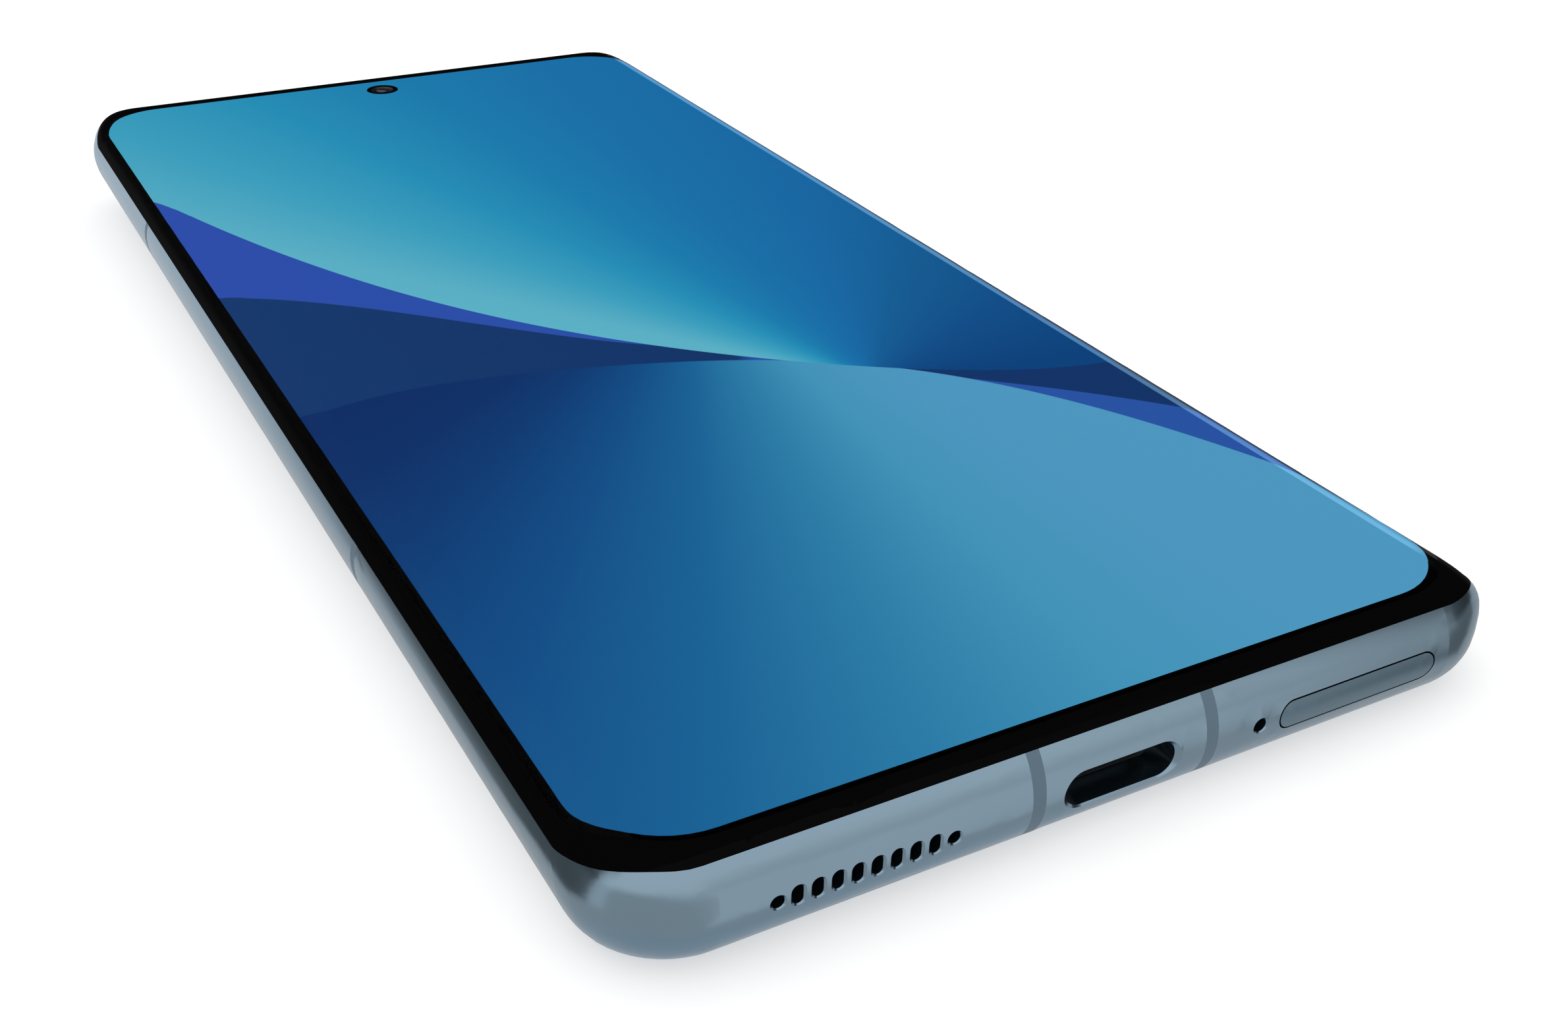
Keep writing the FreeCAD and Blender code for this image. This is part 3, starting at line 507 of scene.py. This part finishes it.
# ---------------------------------------------------------------- materials of every node
def plain(name, base, rough, metal=0.0, **more):
    """A moulded, printed or drawn part: Principled with the common surface detail."""
    paint = Paint(name)
    paint.set(Metallic=metal)
    return paint.finish(base, rough, **more)


def dress():
    """One material for each of the record's slots, given to every node in that slot."""
    slots = {
        "frame_aluminium": anodised("frame_aluminium"),
        "island_aluminium": anodised("island_aluminium", (0.255, 0.37, 0.485), 0.28),
        "ring_metal": anodised("ring_metal", (0.42, 0.52, 0.60), 0.14),
        "tray_metal": anodised("tray_metal", (0.185, 0.280, 0.350), 0.24),
        "band_plastic": band_plastic(),
        "front_glass": front_glass(),
        "island_glass": island_glass(),
        "back_glass": frosted_back(),
        "border_ink": border_ink(),
        "display": lit_display(),
        "foam_copper": plain("foam_copper", (0.05, 0.05, 0.05), 0.8, grain=0.4, depth=0.02),
        "tape": plain("tape", (0.02, 0.02, 0.02), 0.6),
        "copper": plain("copper", (0.72, 0.38, 0.22), 0.30, metal=1.0, grain=0.6),
        "sensor_black": plain("sensor_black", (0.01, 0.01, 0.012), 0.15),
        "flash_plastic": plain("flash_plastic", (0.86, 0.80, 0.58), 0.18, grain=0.5, depth=0.03),
        "led_white": plain("led_white", (0.90, 0.72, 0.22), 0.5),
        "camera_black": plain("camera_black", (0.012, 0.012, 0.014), 0.5),
        "lens_black": plain("lens_black", (0.010, 0.010, 0.013), 0.22, grain=0.8),
        "flex": plain("flex", (0.12, 0.055, 0.015), 0.35, grain=0.5),
        "card_plastic": plain("card_plastic", (0.78, 0.78, 0.76), 0.4),
        "seal_rubber": plain("seal_rubber", (0.02, 0.02, 0.022), 0.7),
        "steel": plain("steel", (0.60, 0.60, 0.60), 0.33, metal=1.0, grain=0.5),
        "tungsten": plain("tungsten", (0.28, 0.28, 0.28), 0.55, metal=1.0),
        "connector_black": plain("connector_black", (0.012, 0.012, 0.012), 0.45),
        "gold_contact": plain("gold_contact", (0.83, 0.60, 0.26), 0.22, metal=1.0),
        "board": plain("board", (0.008, 0.055, 0.038), 0.35, grain=0.7, depth=0.01),
        "module_black": plain("module_black", (0.025, 0.025, 0.027), 0.5, depth=0.01),
        "mesh_black": plain("mesh_black", (0.010, 0.010, 0.010), 0.75, grain=0.15, depth=0.03),
        "battery_foil": plain("battery_foil", (0.08, 0.08, 0.09), 0.42, sheen_size=9.0),
        "ferrite": plain("ferrite", (0.03, 0.03, 0.034), 0.6),
        "chip_black": plain("chip_black", (0.02, 0.02, 0.02), 0.55, grain=0.2),
        "cable_black": plain("cable_black", (0.02, 0.02, 0.02), 0.35),
    }
    for part in frame["record"]["subparts"]:
        coat(part["node"], slots[part["material_slot"]])


dress()
lenses()


# ---------------------------------------------------------------- floor and surroundings
FLOOR_HALF = 4.0               # metres
FLOOR_GAP = 0.05 * MM
EDGE_REST = -77.2 * MM         # where the back glass touches the floor, at height 0
ISLAND_REST = (TELE_LENS.y - 4.9) * MM


def floor():
    """A pale sheet under the two things that the phone lies on: its lower back edge and the island."""
    island_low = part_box("lens_rings")[0].z
    slope = island_low / (ISLAND_REST - EDGE_REST)
    mesh = bpy.data.meshes.new("floor")
    corners = []
    for x, y in ((-1, -1), (1, -1), (1, 1), (-1, 1)):
        away = y * FLOOR_HALF
        corners.append((x * FLOOR_HALF, away, slope * (away - EDGE_REST) - FLOOR_GAP))
    mesh.from_pydata(corners, [], [(0, 1, 2, 3)])
    sheet = bpy.data.objects.new("floor", mesh)
    bpy.context.scene.collection.objects.link(sheet)
    paint = plain("floor_paper", (0.50, 0.50, 0.50), 0.9, grain=0.6, depth=0.002, mottle=0.004)
    paint.set(Emission_Color=(1.0, 1.0, 1.0, 1.0), Emission_Strength=0.48, Specular_IOR_Level=0.0)
    mesh.materials.append(paint.material)
    sheet.visible_glossy = False


GROUND_LEVEL = 0.55            # brightness of the dome below and above the horizon
SKY_LEVEL = 0.93
SCREEN_LEVEL = 0.22            # what the dark screens leave of it
BEHIND_LEVEL = 0.05
EVEN_LEVEL = 1.22              # the even light that everything but gloss sees
WHITE = (1.0, 1.0, 1.0, 1.0)
COOL_WHITE = (0.93, 1.0, 1.06, 1.0)


def surroundings():
    """A soft studio seen only in the gloss, in degrees of bearing and height, and an even light.

    It is a light dome over a grey ground, with dark screens at the sides and behind.
    """
    world = bpy.data.worlds.new("studio")
    bpy.context.scene.world = world
    world.use_nodes = True
    tree = world.node_tree
    tree.nodes.clear()
    link = tree.links.new
    where = tree.nodes.new("ShaderNodeTexCoord")
    split = tree.nodes.new("ShaderNodeSeparateXYZ")
    link(where.outputs["Generated"], split.inputs[0])
    x, y, z = [Value(tree, socket) for socket in split.outputs]
    height = z.math("ARCSINE") * math.degrees(1.0)
    bearing = y.math("ARCTAN2", x) * math.degrees(1.0)

    dome = height.step(-5, 12).span(GROUND_LEVEL, SKY_LEVEL)
    far_ground = bearing.between(55, 119, 3) * height.step(-45, -5) * height.step(4, -2)
    left_strip = bearing.between(164, 184, 3) * height.between(-33, 0, 3)
    front_card = bearing.between(-76, -49, 3) * height.between(-42, 2, 3)
    cards = far_ground * 0.26 + left_strip * 0.20 + front_card * 0.26
    right_dim = bearing.between(-76, -46, 4) * height.between(2, 18, 5) * 0.14

    right_screen = bearing.between(-43, -17, 4) * height.between(-32, 12, 6) * 0.82
    left_screen = bearing.between(120, 160, 3) * height.between(-31, 8, 4)
    dark = right_screen.math("MAXIMUM", left_screen).span(1.0, SCREEN_LEVEL)
    behind = (bearing.between(-44, 160, 4) * height.step(2, 8)).span(1.0, BEHIND_LEVEL)
    studio_light = (dome + cards - right_dim) * dark * behind

    path = tree.nodes.new("ShaderNodeLightPath")
    gloss = Value(tree, path.outputs["Is Glossy Ray"])
    strength = studio_light * gloss + gloss.span(EVEN_LEVEL, 0.0)
    cool = (far_ground + height.step(-45, -60)).math("MINIMUM", 1.0) * gloss
    background = tree.nodes.new("ShaderNodeBackground")
    link(strength.socket, background.inputs["Strength"])
    link(mix_colours(tree, cool, WHITE, COOL_WHITE), background.inputs["Color"])
    out = tree.nodes.new("ShaderNodeOutputWorld")
    link(background.outputs[0], out.inputs["Surface"])


def soft_light(name, at, towards, size, power):
    """A rectangular lamp in metres and watts that no gloss mirrors."""
    lamp = bpy.data.lights.new(name, "AREA")
    lamp.shape = "RECTANGLE"
    lamp.size, lamp.size_y = size
    lamp.energy = power
    holder = bpy.data.objects.new(name, lamp)
    bpy.context.scene.collection.objects.link(holder)
    holder.location = at
    holder.rotation_euler = (Vector(towards) - Vector(at)).to_track_quat("-Z", "Y").to_euler()
    holder.visible_glossy = False


floor()
surroundings()
soft_light("top_light", (-0.3, 0.2, 0.9), (0, 0, 0), (0.9, 0.9), 1.2)


# ---------------------------------------------------------------- camera
CAMERA_AT = Vector((-65.25, -150.25, 76.62)) * MM
CAMERA_LOOKS = Vector((0.4280, 0.7534, -0.4992)).normalized()
CAMERA_ROLL = 1.37             # degrees, the right side up
LENS_MM = 40.18                # focal length
SENSOR_MM = 36.0


def camera():
    """A camera at the place and with the lens that the object was seen with."""
    lens = bpy.data.cameras.new("camera")
    lens.lens = LENS_MM
    lens.sensor_width = SENSOR_MM
    lens.clip_start = 0.001
    holder = bpy.data.objects.new("camera", lens)
    bpy.context.scene.collection.objects.link(holder)
    right = CAMERA_LOOKS.cross(Vector((0, 0, 1))).normalized()
    up = right.cross(CAMERA_LOOKS)
    square = Matrix((right, up, -CAMERA_LOOKS)).transposed().to_4x4()
    roll = Matrix.Rotation(math.radians(CAMERA_ROLL), 4, "Z")
    holder.matrix_world = Matrix.Translation(CAMERA_AT) @ square @ roll
    bpy.context.scene.camera = holder


camera()
bpy.context.scene.view_settings.view_transform = "Standard"
